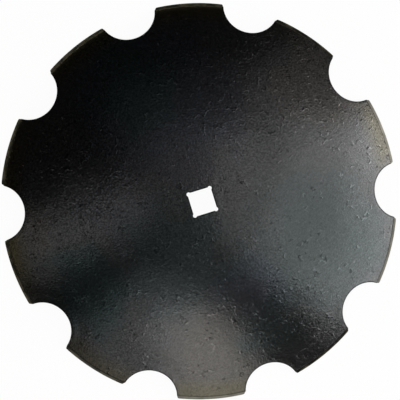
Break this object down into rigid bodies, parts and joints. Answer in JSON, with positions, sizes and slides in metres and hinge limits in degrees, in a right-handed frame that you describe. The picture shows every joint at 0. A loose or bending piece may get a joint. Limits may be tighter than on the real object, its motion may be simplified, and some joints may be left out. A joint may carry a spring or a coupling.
{
  "type": "harrow disc blade",
  "caption": "Dished steel blade for a disc harrow, with a notched and bevelled cutting rim and a square hole for the gang axle.",
  "frame": {"origin": "on the blade's axis, in the plane of its cutting edge, which it lies on", "axes": "+Z along the axis towards the domed side; X and Y square to the sides of the axle hole"},
  "size_m": [0.508, 0.507, 0.0678],
  "materials": {
    "painted_steel": "semi-gloss black paint over mill scale, thin at the ground rim"
  },
  "bodies": {
    "root": {"disc_blade": "painted_steel"}
  },
  "joints": []
}
